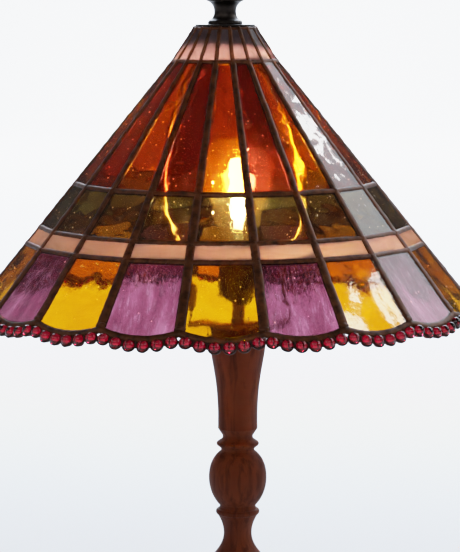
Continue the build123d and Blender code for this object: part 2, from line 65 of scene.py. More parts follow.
# ---- facet geometry ------------------------------------------------------------
class Slope:
    """One band of flat facets: s runs up the slope from its lower row, n points outward."""

    def __init__(self, low_r, low_z, high_r, high_z, rib_low, rib_high):
        self.low_r, self.low_z, self.high_r = low_r, low_z, high_r
        run = (low_r - high_r) * math.cos(HALF_ANGLE)
        rise = high_z - low_z
        self.length = math.hypot(run, rise)
        self.up = Vector((0, run / self.length, rise / self.length))
        self.out = Vector((0, -rise / self.length, run / self.length))
        self.origin = Vector((0, -low_r * math.cos(HALF_ANGLE), low_z))
        self.rib_low, self.rib_high = rib_low, rib_high

    def seam_r(self, s):
        """Corner radius at s."""
        return self.low_r + (self.high_r - self.low_r) * s / self.length

    def at_r(self, seam_r):
        """How far up the slope the corners are at seam_r."""
        return self.length * (self.low_r - seam_r) / (self.low_r - self.high_r)

    def half(self, s):
        """Half the facet's width at s."""
        return self.seam_r(s) * math.sin(HALF_ANGLE)

    def rib_half(self, s):
        """Half the seam came's width at s."""
        return self.rib_low + (self.rib_high - self.rib_low) * s / self.length

    def point(self, facet, u, s, n=0.0):
        """Where a point in a facet's own coordinates is on the lamp."""
        flat = self.origin + Vector((u, 0, 0)) + self.up * s + self.out * n
        return turn(facet) @ flat


def turn(facet):
    """Rotation from the front facet to another; a half number gives the seam between two facets."""
    return Matrix.Rotation(2 * HALF_ANGLE * facet, 3, "Z")


MAIN = Slope(RIM_R, RIM_Z, SHOULDER_R, SHOULDER_Z, RIB_HALF_LOW, RIB_HALF_HIGH)
CROWN = Slope(SHOULDER_R, SHOULDER_Z, CROWN_R, CROWN_Z, RIB_HALF_CROWN, RIB_HALF_CROWN)
CREAM_LOW, CREAM_HIGH = MAIN.at_r(CREAM_LOW_R), MAIN.at_r(CREAM_HIGH_R)
GREEN_HIGH = MAIN.at_r(GREEN_HIGH_R)
CORNER = MAIN.half(0)
SCALLOP_R = (CORNER ** 2 + SCALLOP_DROP ** 2) / (2 * SCALLOP_DROP)
SCALLOP_Y = SCALLOP_R - SCALLOP_DROP
RIM_LINE_R = SCALLOP_R + RIM_WIDTH / 2
BEAD_LINE_R = SCALLOP_R + RIM_WIDTH + BEAD_R - BEAD_SEAT


def scallop_low(u):
    """The scallop's lower edge at u across the facet."""
    return SCALLOP_Y - math.sqrt(SCALLOP_R ** 2 - u ** 2)


# ---- mesh helpers --------------------------------------------------------------
def new_piece(name, verts, faces, body):
    """A mesh piece that rides on a CAD body."""
    mesh = bpy.data.meshes.new(name)
    mesh.from_pydata(verts, [], faces)
    mesh.validate()
    mesh.shade_smooth()
    mesh.set_sharp_from_angle(angle=math.radians(SHARP_ANGLE))
    piece = bpy.data.objects.new(name, mesh)
    bpy.context.scene.collection.objects.link(piece)
    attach(piece, body)
    return piece


def give(piece, material):
    """The piece's one material."""
    piece.data.materials.clear()
    piece.data.materials.append(material)


def skin(start, rings, count, closed, faces):
    """Faces between rings of count points each; closed joins the last ring to the first."""
    for j in range(rings if closed else rings - 1):
        here, there = start + j * count, start + (j + 1) % rings * count
        for k in range(count):
            after = (k + 1) % count
            faces.append((here + k, here + after, there + after, there + k))


def ripple(u, s, seed, stretch_u, stretch_s, size):
    """Smooth noise over a pane, from -1 to 1."""
    return noise.noise(Vector((u / size * stretch_u, s / size * stretch_s, seed)))


# ---- node helpers --------------------------------------------------------------
def material(name):
    """A new node material: its tree and its Principled shader."""
    made = bpy.data.materials.new(name)
    made.use_nodes = True
    tree = made.node_tree
    return made, tree, tree.nodes["Principled BSDF"]


def add(tree, kind, **values):
    """A node with its sockets or properties set."""
    node = tree.nodes.new(kind)
    for key, value in values.items():
        if key in node.inputs:
            node.inputs[key].default_value = value
        else:
            setattr(node, key, value)
    return node


def stretched(tree, output, scale, turned=(0, 0, 0)):
    """Texture coordinates, scaled and turned."""
    mapping = add(tree, "ShaderNodeMapping", Scale=scale, Rotation=turned)
    tree.links.new(output, mapping.inputs["Vector"])
    return mapping.outputs["Vector"]


def ramp(tree, factor, stops):
    """A colour ramp from (position, colour) stops."""
    node = tree.nodes.new("ShaderNodeValToRGB")
    while len(node.color_ramp.elements) < len(stops):
        node.color_ramp.elements.new(0.5)
    for element, (position, colour) in zip(node.color_ramp.elements, stops):
        element.position = position
        element.color = (*colour, 1)
    tree.links.new(factor, node.inputs["Fac"])
    return node.outputs["Color"]


def noise_value(tree, vector, scale, detail=3.0, rough=0.5, distortion=0.0):
    """A noise texture's value."""
    node = add(tree, "ShaderNodeTexNoise", Scale=scale, Detail=detail, Roughness=rough, Distortion=distortion)
    tree.links.new(vector, node.inputs["Vector"])
    return node.outputs["Fac"]


def mixed(tree, factor, first, second, kind="MIX"):
    """Two colours mixed by a factor, which is a socket or a number."""
    node = add(tree, "ShaderNodeMix", data_type="RGBA", blend_type=kind)
    for socket, value in ((node.inputs[0], factor), (node.inputs[6], first), (node.inputs[7], second)):
        if isinstance(value, bpy.types.NodeSocket):
            tree.links.new(value, socket)
        else:
            socket.default_value = value
    return node.outputs[2]


def by_height(tree, place, low, high, top):
    """0 below the height low, rising to top at the height high."""
    split = tree.nodes.new("ShaderNodeSeparateXYZ")
    tree.links.new(place, split.inputs[0])
    height = add(tree, "ShaderNodeMapRange")
    for socket, value in (("From Min", low), ("From Max", high), ("To Min", 0.0), ("To Max", top)):
        height.inputs[socket].default_value = value
    tree.links.new(split.outputs["Z"], height.inputs["Value"])
    return height.outputs[0]


def bumped(tree, shader, height, strength, distance):
    """Fine relief on a shader."""
    node = add(tree, "ShaderNodeBump", Strength=strength, Distance=distance)
    tree.links.new(height, node.inputs["Height"])
    tree.links.new(node.outputs["Normal"], shader.inputs["Normal"])


# ---- glass ---------------------------------------------------------------------
def clear_glass(name, tints, streak, streak_turn, relief, rough, seeds=0.0, rare=0.5, brushed=0.0):
    """Coloured see-through glass: tints streak into each other, with ripples, seeds whose spots carry a painted
    glint, or brush marks.
    """
    made, tree, shader = material(name)
    shader.inputs["Transmission Weight"].default_value = 1.0
    shader.inputs["IOR"].default_value = 1.5
    uv = add(tree, "ShaderNodeUVMap", uv_map="pane").outputs["UV"]
    flow = stretched(tree, uv, streak, (0, 0, streak_turn))
    tone = noise_value(tree, flow, 1.0, 3.0, 0.55, 0.6)
    colour = ramp(tree, tone, tints)
    fine = noise_value(tree, stretched(tree, uv, (7, 7, 7)), 1.0, 2.0)
    height = fine
    haze = noise_value(tree, stretched(tree, uv, (26, 26, 26)), 1.0, 2.0)
    spread = ramp(tree, haze, [(0.38, (rough[0],) * 3), (0.68, (rough[1],) * 3)])
    dust = noise_value(tree, stretched(tree, uv, (80, 80, 80)), 1.0, 2.0, 0.7)
    veil = ramp(tree, dust, [(0.67, (0, 0, 0)), (0.72, (1, 1, 1))])
    tree.links.new(mixed(tree, veil, spread, (0.55, 0.55, 0.55, 1)), shader.inputs["Roughness"])
    if seeds:
        cells = add(tree, "ShaderNodeTexVoronoi", Scale=seeds)
        tree.links.new(stretched(tree, uv, (1.0, 0.8, 1.0)), cells.inputs["Vector"])
        seed_dots_and_glint = ramp(tree, cells.outputs["Distance"], [(0.0, (1, 1, 1)), (0.13, (0, 0, 0))])
        shade = add(tree, "ShaderNodeSeparateColor")
        tree.links.new(cells.outputs["Color"], shade.inputs[0])
        some = ramp(tree, shade.outputs[0], [(rare, (0, 0, 0)), (rare + 0.05, (1, 1, 1))])
        seed_dots_and_glint = mixed(tree, 1.0, seed_dots_and_glint, some, "MULTIPLY")
        # Seed spots get a pale warm tint, a painted glint of the light a bubble catches; their bump is the
        # bubble's own relief.
        colour = mixed(tree, seed_dots_and_glint, colour, (0.95, 0.72, 0.40, 1))
        taller = mixed(tree, 1.0, seed_dots_and_glint, (4, 4, 4, 1), "MULTIPLY")
        height = mixed(tree, 1.0, fine, taller, "ADD")
    if brushed:
        marks = noise_value(tree, stretched(tree, uv, (55, 4, 1), (0, 0, -0.6)), 1.0, 2.0, 0.6, 0.3)
        lines = ramp(tree, marks, [(0.56, (0, 0, 0)), (0.70, (1, 1, 1))])
        height = mixed(tree, brushed, fine, lines, "ADD")
        colour = mixed(tree, mixed(tree, 0.35, (0, 0, 0, 1), lines), colour, (0.62, 0.40, 0.50, 1))
    tree.links.new(colour, shader.inputs["Base Color"])
    bumped(tree, shader, height, relief, 0.25 * MM)
    return made


def opal_glass(name, tints, streak, through):
    """Milky glass: light spreads through it, and it keeps a gloss."""
    made, tree, shader = material(name)
    shader.inputs["Roughness"].default_value = 0.18
    shader.inputs["Coat Weight"].default_value = 0.3
    uv = add(tree, "ShaderNodeUVMap", uv_map="pane").outputs["UV"]
    tone = noise_value(tree, stretched(tree, uv, streak, (0, 0, 0.5)), 1.0, 4.0, 0.6, 1.2)
    colour = ramp(tree, tone, tints)
    tree.links.new(colour, shader.inputs["Base Color"])
    behind = tree.nodes.new("ShaderNodeBsdfTranslucent")
    tree.links.new(colour, behind.inputs["Color"])
    mix = add(tree, "ShaderNodeMixShader", Fac=through)
    tree.links.new(shader.outputs[0], mix.inputs[1])
    tree.links.new(behind.outputs[0], mix.inputs[2])
    tree.links.new(mix.outputs[0], tree.nodes["Material Output"].inputs["Surface"])
    bumped(tree, shader, noise_value(tree, stretched(tree, uv, (6, 6, 6)), 1.0, 3.0), 0.3, 0.3 * MM)
    return made


AMBER_TINTS = [(0.30, (0.22, 0.034, 0.0006)), (0.52, (0.32, 0.070, 0.002)), (0.74, (0.42, 0.115, 0.005))]
RED_TINTS = [(0.30, (0.09, 0.008, 0.005)), (0.52, (0.150, 0.015, 0.007)), (0.74, (0.23, 0.030, 0.012))]
GREEN_TINTS = [(0.30, (0.12, 0.058, 0.012)), (0.50, (0.14, 0.088, 0.026)), (0.70, (0.165, 0.135, 0.05))]
YELLOW_TINTS = [(0.28, (0.42, 0.130, 0.0002)), (0.55, (0.50, 0.180, 0.0005)), (0.78, (0.56, 0.22, 0.001))]
PURPLE_TINTS = [(0.28, (0.10, 0.016, 0.033)), (0.50, (0.155, 0.033, 0.060)), (0.66, (0.24, 0.07, 0.115))]
CREAM_TINTS = [(0.3, (0.42, 0.262, 0.215)), (0.6, (0.52, 0.345, 0.29))]
PINK_TINTS = [(0.3, (0.32, 0.20, 0.21)), (0.7, (0.50, 0.36, 0.38))]

AMBER = clear_glass("amber_glass", AMBER_TINTS, (1.6, 0.5, 1), 0.15, 0.26, (0.02, 0.11), seeds=9.0)
RED = clear_glass("red_glass", RED_TINTS, (2.2, 0.6, 1), -0.2, 0.28, (0.02, 0.11), seeds=9.0)
GREEN = clear_glass("green_glass", GREEN_TINTS, (1.2, 2.6, 1), 0.25, 0.26, (0.02, 0.09), seeds=8.0, rare=0.6)
YELLOW = clear_glass("yellow_glass", YELLOW_TINTS, (0.9, 1.6, 1), 0.5, 0.22, (0.03, 0.10), seeds=8.0, rare=0.75)
PURPLE = clear_glass("purple_glass", PURPLE_TINTS, (3.4, 0.8, 1), -0.7, 0.30, (0.04, 0.14), brushed=0.8)
CREAM = opal_glass("cream_glass", CREAM_TINTS, (1.2, 3.0, 1), 0.75)
PINK = opal_glass("pink_glass", PINK_TINTS, (2.0, 2.0, 1), 0.85)


def ruby():
    """Moulded ruby glass."""
    made, tree, shader = material("ruby_glass")
    shader.inputs["Transmission Weight"].default_value = 1.0
    shader.inputs["IOR"].default_value = 1.5
    shader.inputs["Roughness"].default_value = 0.04
    place = add(tree, "ShaderNodeTexCoord").outputs["Object"]
    tone = noise_value(tree, place, 160.0, 2.0)
    colour = ramp(tree, tone, [(0.3, (0.14, 0.0008, 0.004)), (0.7, (0.24, 0.0016, 0.012))])
    tree.links.new(colour, shader.inputs["Base Color"])
    bumped(tree, shader, noise_value(tree, place, 700.0, 1.0), 0.15, 0.2 * MM)
    return made


RUBY = ruby()


# ---- metals, wood and the rest -------------------------------------------------
def metal(name, dark, light, metallic, roughness, scale=90.0, relief=0.3, specular=0.5):
    """Metal with patches of tarnish and fine relief."""
    made, tree, shader = material(name)
    shader.inputs["Metallic"].default_value = metallic
    shader.inputs["Specular IOR Level"].default_value = specular
    place = add(tree, "ShaderNodeTexCoord").outputs["Object"]
    tone = noise_value(tree, place, scale, 5.0, 0.6)
    colour = ramp(tree, tone, [(0.32, dark), (0.68, light)])
    tree.links.new(colour, shader.inputs["Base Color"])
    low, high = roughness
    spread = ramp(tree, tone, [(0.3, (low,) * 3), (0.7, (high,) * 3)])
    tree.links.new(spread, shader.inputs["Roughness"])
    bumped(tree, shader, noise_value(tree, place, scale * 5, 4.0), relief, 0.3 * MM)
    return made


def turned_wood():
    """Reddish-brown varnished wood, its grain running up the column."""
    made, tree, shader = material("varnished_wood")
    place = add(tree, "ShaderNodeTexCoord").outputs["Object"]
    grain = noise_value(tree, stretched(tree, place, (1, 1, 0.05)), 190.0, 6.0, 0.62, 0.4)
    cloud = noise_value(tree, stretched(tree, place, (1, 1, 0.35)), 26.0, 3.0, 0.5, 0.3)
    base = ramp(tree, cloud, [(0.30, (0.070, 0.013, 0.0035)), (0.72, (0.150, 0.032, 0.008))])
    lines = ramp(tree, grain, [(0.36, (0.50, 0.42, 0.40)), (0.52, (1, 1, 1)), (0.75, (1.0, 0.9, 0.85))])
    colour = mixed(tree, 0.85, base, lines, "MULTIPLY")
    tree.links.new(colour, shader.inputs["Base Color"])
    shader.inputs["Specular IOR Level"].default_value = 0.09
    rough = ramp(tree, grain, [(0.3, (0.68,) * 3), (0.7, (0.50,) * 3)])
    tree.links.new(rough, shader.inputs["Roughness"])
    bumped(tree, shader, grain, 0.25, 0.15 * MM)
    return made


def matte(name, colour, roughness):
    """Moulded or pressed matte stuff."""
    made, tree, shader = material(name)
    place = add(tree, "ShaderNodeTexCoord").outputs["Object"]
    tone = noise_value(tree, place, 300.0, 4.0, 0.7)
    darker = tuple(c * 0.6 for c in colour)
    tree.links.new(ramp(tree, tone, [(0.3, darker), (0.7, colour)]), shader.inputs["Base Color"])
    shader.inputs["Roughness"].default_value = roughness
    bumped(tree, shader, noise_value(tree, place, 900.0, 3.0), 0.4, 0.2 * MM)
    return made


CAME = metal("came_patina", (0.034, 0.010, 0.003), (0.125, 0.038, 0.012), 0.35, (0.34, 0.52), 140.0, 0.5, 0.18)
BRONZE = metal("dark_bronze", (0.009, 0.006, 0.005), (0.034, 0.024, 0.018), 0.80, (0.26, 0.44), 120.0)
BRASS = metal("brass", (0.30, 0.17, 0.05), (0.58, 0.38, 0.14), 1.0, (0.24, 0.42), 110.0, 0.15)
STEEL = metal("plated_steel", (0.35, 0.34, 0.33), (0.60, 0.60, 0.60), 1.0, (0.25, 0.42), 110.0, 0.15)
IRON = metal("cast_iron", (0.03, 0.03, 0.03), (0.09, 0.085, 0.08), 0.7, (0.55, 0.8), 200.0, 0.8)
AGED = metal("aged_brass", (0.05, 0.028, 0.010), (0.16, 0.095, 0.035), 0.9, (0.32, 0.5), 90.0, 0.2)
SOLDER = metal("dark_solder", (0.014, 0.006, 0.004), (0.050, 0.018, 0.012), 0.1, (0.42, 0.6), 260.0, 0.4, 0.14)
WOOD = turned_wood()
PLASTIC = matte("black_plastic", (0.025, 0.024, 0.023), 0.42)
CARD = matte("insulating_board", (0.30, 0.24, 0.15), 0.85)
FELT = matte("green_felt", (0.03, 0.10, 0.05), 0.95)


# Heights in metres between which the bulb's envelope and stem light up, and emission strengths
ENVELOPE_GLOW, STEM_GLOW = (0.370, 0.460), (0.386, 0.403)
ENVELOPE_POWER, STEM_POWER, CAPSULE_POWER, FILAMENT_POWER, SEED_POWER = 2.2, 1500.0, 2600.0, 80.0, 1.8


def glow(name, dull, hot, strength, size):
    """A surface that shines by itself, a little hotter in some places than in others."""
    made, tree, shader = material(name)
    place = add(tree, "ShaderNodeTexCoord").outputs["Object"]
    tone = ramp(tree, noise_value(tree, place, size, 2.0), [(0.35, dull), (0.65, hot)])
    tree.links.new(tone, shader.inputs["Emission Color"])
    tree.links.new(tone, shader.inputs["Base Color"])
    shader.inputs["Emission Strength"].default_value = strength
    return made


def frosted_bulb():
    """Lightly frosted envelope: see-through, and lit most round the capsule."""
    made, tree, shader = material("frosted_bulb_glass")
    place = add(tree, "ShaderNodeTexCoord").outputs["Object"]
    warm = ramp(tree, by_height(tree, place, *ENVELOPE_GLOW, 1.0),
                [(0.0, (0.10, 0.05, 0.02)), (0.25, (0.9, 0.62, 0.30)), (0.6, (1.0, 0.74, 0.38)),
                 (0.85, (0.35, 0.22, 0.10)), (1.0, (0.08, 0.05, 0.02))])
    cloud = noise_value(tree, place, 60.0, 2.0)
    tree.links.new(mixed(tree, cloud, warm, (0.3, 0.3, 0.3, 1), "MULTIPLY"), shader.inputs["Base Color"])
    tree.links.new(warm, shader.inputs["Emission Color"])
    shader.inputs["Emission Strength"].default_value = ENVELOPE_POWER
    shader.inputs["Roughness"].default_value = 0.35
    clear = tree.nodes.new("ShaderNodeBsdfTransparent")
    mix = add(tree, "ShaderNodeMixShader", Fac=0.93)
    tree.links.new(shader.outputs[0], mix.inputs[1])
    tree.links.new(clear.outputs[0], mix.inputs[2])
    tree.links.new(mix.outputs[0], tree.nodes["Material Output"].inputs["Surface"])
    return made


def lit_stem():
    """The glass stem, bright where it nears the capsule."""
    made, tree, shader = material("lit_stem")
    place = add(tree, "ShaderNodeTexCoord").outputs["Object"]
    shader.inputs["Base Color"].default_value = (0.8, 0.8, 0.78, 1)
    shader.inputs["Emission Color"].default_value = (1.0, 0.82, 0.56, 1)
    tree.links.new(by_height(tree, place, *STEM_GLOW, STEM_POWER), shader.inputs["Emission Strength"])
    return made


# ---- panes ---------------------------------------------------------------------
def pane_grid(slope, facet, low_at, high, wave, seed, cell):
    """Outer and inner surface points of one pane, and its UVs, as rows of a grid."""
    middle = (low_at(0) + high) / 2
    across = max(4, round(2 * slope.half(middle) / cell))
    along = max(3, round((high - low_at(0)) / cell))
    amplitude, size, stretch_u, stretch_s = wave
    rows = []
    for j in range(along + 1):
        row = []
        for i in range(across + 1):
            t = 2 * i / across - 1
            foot = low_at(t * (slope.half(0) - slope.rib_half(0)))
            s = foot + (high - foot) * j / along
            u = t * (slope.half(s) - slope.rib_half(s) + TUCK)
            front = GLASS_HALF_T + amplitude * ripple(u, s, seed, stretch_u, stretch_s, size)
            back = -GLASS_HALF_T + amplitude * ripple(u, s, seed + 40, stretch_u, stretch_s, size)
            row.append((slope.point(facet, u, s, front), slope.point(facet, u, s, back),
                        (u * 20 + seed * 3.7, s * 20 + seed * 1.9)))
        rows.append(row)
    return rows


def panes(name, node, slope, facets, low_at, high, wave, mat, cell=3.2 * MM, seed=0):
    """Every pane of one row and colour, each a rippled plate tucked under the cames."""
    verts, faces, uvs = [], [], []
    for facet in facets:
        rows = pane_grid(slope, facet, low_at, high, wave, seed + facet * 1.31, cell)
        start = len(verts)
        wide, tall = len(rows[0]), len(rows)
        for row in rows:
            for front, back, uv in row:
                verts += [front, back]
                uvs += [uv, uv]

        def at(i, j, side):
            return start + 2 * (j * wide + i) + side

        for j in range(tall - 1):
            for i in range(wide - 1):
                faces.append((at(i, j, 0), at(i + 1, j, 0), at(i + 1, j + 1, 0), at(i, j + 1, 0)))
                faces.append((at(i, j, 1), at(i, j + 1, 1), at(i + 1, j + 1, 1), at(i + 1, j, 1)))
        for i in range(wide - 1):
            faces.append((at(i, 0, 1), at(i + 1, 0, 1), at(i + 1, 0, 0), at(i, 0, 0)))
            faces.append((at(i, tall - 1, 0), at(i + 1, tall - 1, 0),
                          at(i + 1, tall - 1, 1), at(i, tall - 1, 1)))
        for j in range(tall - 1):
            faces.append((at(0, j, 0), at(0, j + 1, 0), at(0, j + 1, 1), at(0, j, 1)))
            faces.append((at(wide - 1, j, 1), at(wide - 1, j + 1, 1),
                          at(wide - 1, j + 1, 0), at(wide - 1, j, 0)))
    piece = new_piece(name, verts, faces, "shade")
    layer = piece.data.uv_layers.new(name="pane")
    for loop in piece.data.loops:
        layer.data[loop.index].uv = uvs[loop.vertex_index]
    give(piece, mat)
    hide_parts(node)


EVEN, ODD = range(0, FACETS, 2), range(1, FACETS, 2)


def level(s):
    """A straight lower edge at s."""
    return lambda u: s


LONG_WAVE = (0.34 * MM, 11 * MM, 0.9, 1.3)
SQUARE_WAVE = (0.20 * MM, 9 * MM, 0.8, 1.4)
SCALLOP_WAVE = (0.36 * MM, 20 * MM, 1.0, 0.75)
STILL_WAVE = (0.10 * MM, 9 * MM, 1.0, 1.0)
LONG_LOW, LONG_HIGH = GREEN_HIGH + ROW_HALF - TUCK, MAIN.length - 2.6 * MM + TUCK
panes("amber_long_panes", "amber_long_glass", MAIN, EVEN, level(LONG_LOW), LONG_HIGH, LONG_WAVE, AMBER,
      seed=3)
panes("red_long_panes", "red_long_glass", MAIN, ODD, level(LONG_LOW), LONG_HIGH, LONG_WAVE, RED,
      seed=11)
panes("green_square_panes", "green_square_glass", MAIN, range(FACETS), level(CREAM_HIGH + ROW_HALF - TUCK),
      GREEN_HIGH - ROW_HALF + TUCK, SQUARE_WAVE, GREEN, seed=23)
panes("cream_band_panes", "cream_band_glass", MAIN, range(FACETS), level(CREAM_LOW + ROW_HALF - TUCK),
      CREAM_HIGH - ROW_HALF + TUCK, STILL_WAVE, CREAM, seed=31)


def scallop_tucked(u):
    """The scallop pane's lower edge, tucked into the rim."""
    return scallop_low(u) - TUCK


panes("yellow_scallop_panes", "yellow_scallop_glass", MAIN, EVEN, scallop_tucked, CREAM_LOW - ROW_HALF + TUCK,
      SCALLOP_WAVE, YELLOW, seed=43)
panes("purple_scallop_panes", "purple_scallop_glass", MAIN, ODD, scallop_tucked, CREAM_LOW - ROW_HALF + TUCK,
      SCALLOP_WAVE, PURPLE, seed=57)
panes("crown_panes", "crown_glass", CROWN, range(FACETS), level(1.0 * MM), CROWN.length - 2.0 * MM,
      STILL_WAVE, PINK, cell=2.5 * MM, seed=71)


def seed_glints():
    """Bubbles in the glass. They shine a little by themselves, in place of the bulb's light they catch."""
    draw = random.Random(21)
    rows = ((range(FACETS), 9, LONG_LOW + 3 * MM, LONG_LOW + 75 * MM),
            (range(FACETS), 5, CREAM_HIGH + 5 * MM, GREEN_HIGH - 5 * MM),
            (EVEN, 9, 3 * MM, CREAM_LOW - 6 * MM),
            (ODD, 4, 3 * MM, CREAM_LOW - 6 * MM))
    verts, faces = [], []
    for facets, count, low, high in rows:
        for facet in facets:
            spin = turn(facet)
            for _ in range(count):
                s = draw.uniform(low, high)
                reach = MAIN.half(s) - MAIN.rib_half(s) - 1.5 * MM
                centre = MAIN.point(facet, draw.uniform(-reach, reach), s, draw.uniform(-0.5, 0.5) * MM)
                r = draw.uniform(0.22, 0.60) * MM
                blob(centre, spin @ Vector((1, 0, 0)), spin @ MAIN.up, spin @ MAIN.out,
                     (r, r * draw.uniform(1, 1.5), r), verts, faces, draw.uniform(0, 50), 1)
    made, tree, shader = material("lit_seeds")
    place = add(tree, "ShaderNodeTexCoord").outputs["Object"]
    tone = noise_value(tree, place, 300.0, 2.0)
    tree.links.new(ramp(tree, tone, [(0.35, (0.25, 0.12, 0.05)), (0.65, (1.0, 0.68, 0.36))]),
                   shader.inputs["Emission Color"])
    shader.inputs["Emission Strength"].default_value = SEED_POWER
    piece = new_piece("glass_seeds", verts, faces, "shade")
    give(piece, made)


# ---- soldered cames ------------------------------------------------------------
def oval(count):
    """Unit section of a solder run: flat where it meets the glass, crowned between."""
    points = []
    for k in range(count):
        a = 2 * math.pi * k / count
        x, y = math.cos(a), math.sin(a)
        points.append((math.copysign(abs(x) ** 0.85, x), math.copysign(abs(y) ** 0.8, y)))
    return points


SECTION = oval(14)


def solder_run(stations, closed, verts, faces, seed, lump=0.10):
    """Sweep the section along stations of (centre, side, out, half width, half height)."""
    start = len(verts)
    count = len(SECTION)
    for centre, side, out, half_w, half_h in stations:
        for x, y in SECTION:
            place = centre + side * (x * half_w) + out * (y * half_h)
            bulge = lump * noise.noise(place * 190 + Vector((seed, 0, 0)))
            bulge += lump * 0.6 * noise.noise(place * 480 + Vector((seed, 7, 0)))
            verts.append(centre + side * (x * half_w * (1 + 0.6 * bulge)) + out * (y * half_h * (1 + 1.8 * bulge)))
    total = len(stations)
    skin(start, total, count, closed, faces)
    if not closed:
        faces.append(tuple(start + k for k in reversed(range(count))))
        faces.append(tuple(start + (total - 1) * count + k for k in range(count)))


def seam_frame(slope, seam, s):
    """Centre, side and outward directions on a seam at s up the slope."""
    spin = turn(seam)
    radial = spin @ Vector((0, -1, 0))
    centre = radial * slope.seam_r(s) + Vector((0, 0, slope.low_z + slope.up.z * s))
    along = -radial * (slope.low_r - slope.high_r) / slope.length + Vector((0, 0, slope.up.z))
    side = spin @ Vector((1, 0, 0))
    out = side.cross(along).normalized()
    return centre, side, out


def ribs(slope, low, high, step, verts, faces, seed):
    """The cames over every seam of a band."""
    count = round((high - low) / step)
    for k in range(FACETS):
        stations = []
        for j in range(count + 1):
            s = low + (high - low) * j / count
            centre, side, out = seam_frame(slope, k + 0.5, s)
            wobble = 0.35 * MM * noise.noise(Vector((s * 40, k * 3.1, seed)))
            stations.append((centre + side * wobble, side, out, slope.rib_half(s) + 0.45 * MM, CAME_HALF_T))
        solder_run(stations, False, verts, faces, seed + k)


def ring(slope, s, half_w, verts, faces, seed, per_facet=14):
    """One came that runs round the shade across every facet."""
    stations = []
    for facet in range(FACETS):
        for i in range(per_facet):
            t = 2 * (i + 0.5) / per_facet - 1
            spin = turn(facet)
            wobble = 0.3 * MM * noise.noise(Vector((facet * 2.7 + t, seed, 0)))
            centre = slope.point(facet, t * slope.half(s), s + wobble)
            stations.append((centre, spin @ slope.up, spin @ slope.out, half_w, CAME_HALF_T))
    solder_run(stations, True, verts, faces, seed)


def blob(centre, side, up, out, radii, verts, faces, seed, finer=3, uneven=0.14, grain=1.6):
    """An uneven ellipsoid, such as a lump of solder."""
    made = bmesh.new()
    bmesh.ops.create_icosphere(made, subdivisions=finer, radius=1.0)
    start = len(verts)
    for v in made.verts:
        swell = 1 + uneven * noise.noise(v.co * grain + Vector((seed, 0, 0)))
        verts.append(centre + side * (v.co.x * radii[0] * swell) + up * (v.co.y * radii[1] * swell)
                     + out * (v.co.z * radii[2] * swell))
    faces += [tuple(start + v.index for v in f.verts) for f in made.faces]
    made.free()


def came_piece(name, node, verts, faces):
    """A piece of patinated came that stands for a CAD node."""
    piece = new_piece(name, verts, faces, "shade")
    give(piece, CAME)
    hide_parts(node)


def came_work():
    """All cames, with a lump of solder where they cross."""
    verts, faces = [], []
    ribs(MAIN, -1.5 * MM, MAIN.length - 1.5 * MM, 2.4 * MM, verts, faces, 5)
    came_piece("seam_came", "seam_ribs", verts, faces)

    verts, faces = [], []
    ribs(CROWN, 0.5 * MM, CROWN.length - 1.0 * MM, 2.0 * MM, verts, faces, 9)
    came_piece("crown_came", "crown_ribs", verts, faces)

    full = ROW_HALF + 0.3 * MM
    rows = (("cream_low_came", "cream_low_row", MAIN, CREAM_LOW, full),
            ("cream_high_came", "cream_high_row", MAIN, CREAM_HIGH, full),
            ("green_high_came", "green_high_row", MAIN, GREEN_HIGH, full),
            ("shoulder_came", "shoulder_row", MAIN, MAIN.length - 0.6 * MM, 2.1 * MM),
            ("crown_top_came", "crown_row", CROWN, CROWN.length - 1.3 * MM, 1.5 * MM))
    for number, (name, node, slope, s, half_w) in enumerate(rows):
        verts, faces = [], []
        ring(slope, s, half_w, verts, faces, 17 + number, 14 if slope is MAIN else 6)
        for k in range(FACETS):
            centre, side, out = seam_frame(slope, k + 0.5, s)
            up = out.cross(side)
            wide = slope.rib_half(s) + 0.5 * MM
            blob(centre, side, up, out, (wide, half_w + 1.1 * MM, CAME_HALF_T * 1.12), verts, faces, k + number)
        came_piece(name, node, verts, faces)


came_work()
seed_glints()


def crown_shade_band():
    """A dark band of solder inside the crown, behind its glass: a painted shade that darkens the crown's panes
    below the cap, set as a guessed flange under the cap's skirt.
    """
    inner, outer = [], []
    for z in (530.5, 532.0, 536.0, 541.0):
        share = (z * MM - SHOULDER_Z) / (CROWN_Z - SHOULDER_Z)
        glass_r = (SHOULDER_R + (CROWN_R - SHOULDER_R) * share) * math.cos(HALF_ANGLE) - 2.7 * MM
        outer.append((glass_r, z * MM))
        inner.append((glass_r - 1.2 * MM, z * MM))
    loop = outer + inner[::-1]
    around = 4 * FACETS
    verts, faces = [], []
    for i in range(around):
        a = 2 * math.pi * i / around
        verts += [(r * math.cos(a), r * math.sin(a), z) for r, z in loop]
    for i in range(around):
        here, there = i * len(loop), (i + 1) % around * len(loop)
        for j in range(len(loop)):
            after = (j + 1) % len(loop)
            faces.append((here + j, there + j, there + after, here + after))
    piece = new_piece("crown_shade_band", verts, faces, "shade")
    give(piece, SOLDER)


crown_shade_band()


def rim_work():
    """Scalloped edging with a lump at each valley."""
    verts, faces = [], []
    end = math.asin(MAIN.half(-1.5 * MM) / RIM_LINE_R)
    steps = 26
    for facet in range(FACETS):
        spin = turn(facet)
        stations = []
        for j in range(steps + 1):
            a = -end + 2 * end * j / steps
            radial = spin @ (Vector((math.sin(a), 0, 0)) - MAIN.up * math.cos(a))
            line = RIM_LINE_R + 0.9 * MM
            centre = MAIN.point(facet, line * math.sin(a), SCALLOP_Y - line * math.cos(a))
            stations.append((centre, radial, spin @ MAIN.out, RIM_WIDTH / 2 + 1.1 * MM, CAME_HALF_T))
        solder_run(stations, False, verts, faces, 31 + facet, 0.12)
        centre, side, out = seam_frame(MAIN, facet + 0.5, 0.4 * MM)
        blob(centre, side, out.cross(side), out, (4.4 * MM, 3.0 * MM, CAME_HALF_T * 1.2), verts, faces, facet)
    came_piece("scallop_edging", "scallop_rim", verts, faces)


rim_work()


